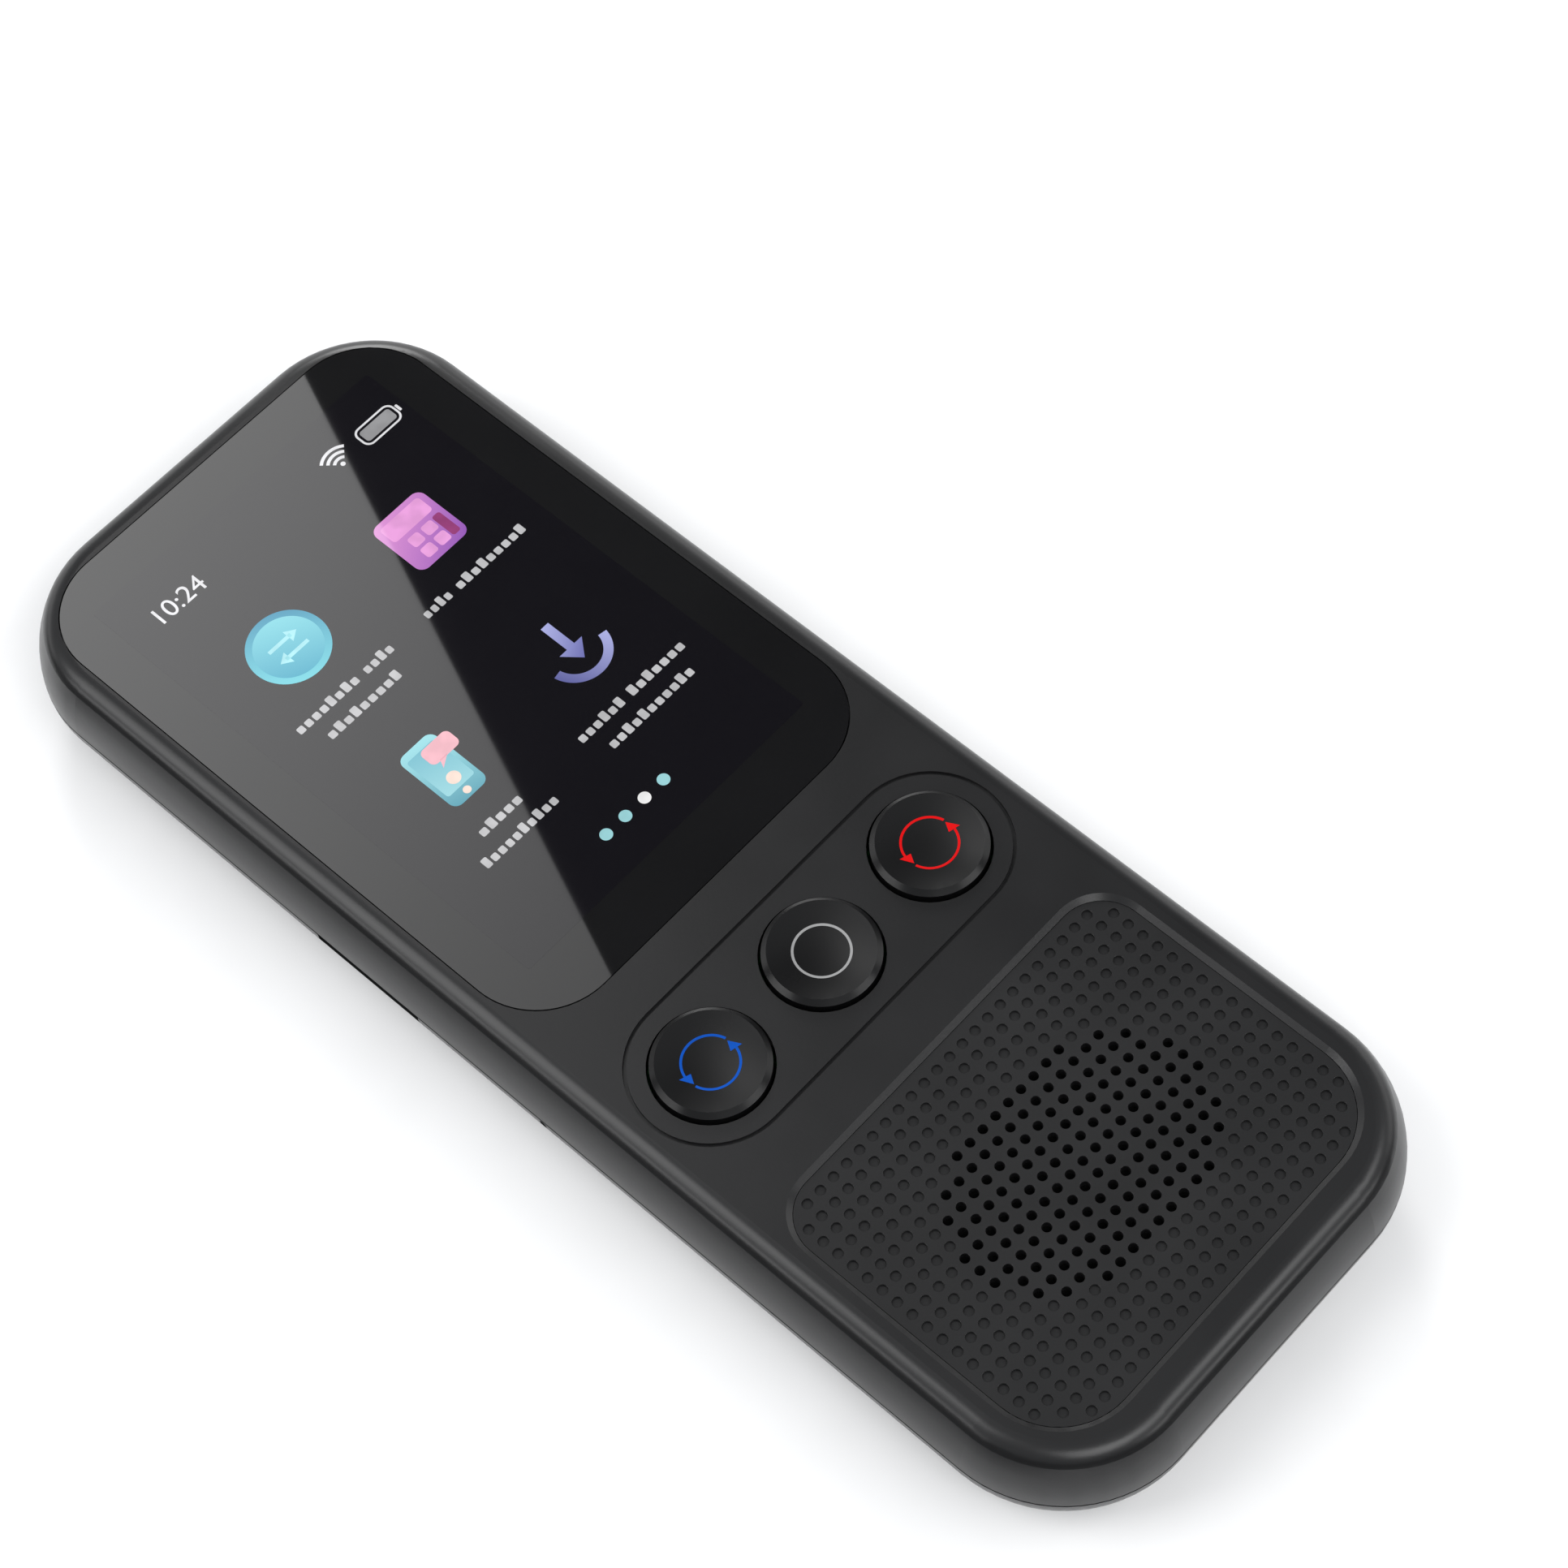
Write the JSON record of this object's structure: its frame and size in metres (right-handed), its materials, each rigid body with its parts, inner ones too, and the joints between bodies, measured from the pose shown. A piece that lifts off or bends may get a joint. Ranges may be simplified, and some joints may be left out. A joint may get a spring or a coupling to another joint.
{
  "type": "handheld translator",
  "caption": "Pocket voice translator with a colour touch screen, three round keys, a perforated speaker grille and side keys.",
  "frame": {"origin": "centre of the flat back face", "axes": "+Z out of the screen, +Y towards the screen end, +X towards the side keys"},
  "size_m": [0.0538, 0.138, 0.0146],
  "materials": {
    "case_plastic": "satin",
    "grille_plastic": "satin",
    "key_plastic": "satin",
    "cover_glass": "gloss",
    "display": "gloss",
    "adhesive": "matte",
    "cloth": "matte",
    "rubber_black": "matte",
    "board_green": "satin",
    "flex_amber": "satin",
    "steel_plate": "satin",
    "cell_wrap": "satin",
    "paper_cone": "matte",
    "magnet_steel": "satin"
  },
  "bodies": {
    "housing": {"front_housing": "case_plastic", "rear_cover": "case_plastic", "speaker_grille": "grille_plastic", "grille_cloth": "cloth", "touch_glass": "cover_glass", "glass_adhesive": "adhesive", "display_panel": "display", "display_flex": "flex_amber", "main_board": "board_green", "board_screws": "steel_plate", "processor_shield": "steel_plate", "wifi_antenna": "flex_amber", "front_key_switches": "steel_plate", "side_key_board": "board_green", "power_switch": "steel_plate", "volume_switches": "steel_plate", "battery": "cell_wrap", "battery_pad": "adhesive", "battery_connector": "paper_cone", "battery_flex": "flex_amber", "speaker_frame": "paper_cone", "speaker_cone": "paper_cone", "speaker_magnet": "magnet_steel", "speaker_gasket": "rubber_black", "speaker_flex": "flex_amber", "usb_port": "steel_plate", "usb_tongue": "paper_cone", "card_socket": "steel_plate", "left_microphone": "steel_plate", "right_microphone": "steel_plate", "left_mic_boot": "rubber_black", "right_mic_boot": "rubber_black"},
    "left_key": {"left_key": "key_plastic"},
    "centre_key": {"centre_key": "key_plastic"},
    "right_key": {"right_key": "key_plastic"},
    "power_key": {"power_key": "case_plastic"},
    "volume_key": {"volume_key": "case_plastic"}
  },
  "joints": [
    {"name": "left_key_press", "type": "slide", "parent": "housing", "child": "left_key", "axis": [0, 0, -1], "range_m": [0, 0.0004], "stiffness_N_per_m": 1500},
    {"name": "centre_key_press", "type": "slide", "parent": "housing", "child": "centre_key", "axis": [0, 0, -1], "range_m": [0, 0.0004], "stiffness_N_per_m": 1500},
    {"name": "right_key_press", "type": "slide", "parent": "housing", "child": "right_key", "axis": [0, 0, -1], "range_m": [0, 0.0004], "stiffness_N_per_m": 1500},
    {"name": "power_key_press", "type": "slide", "parent": "housing", "child": "power_key", "axis": [-1, 0, 0], "range_m": [0, 0.0003], "stiffness_N_per_m": 1500},
    {"name": "volume_key_rock", "type": "hinge", "parent": "housing", "child": "volume_key", "pos_m": [0.0216, 0.0238, 0.00455], "axis": [0, 0, 1], "range_deg": [-1.2, 1.2], "stiffness_Nm_per_rad": 0.12}
  ]
}
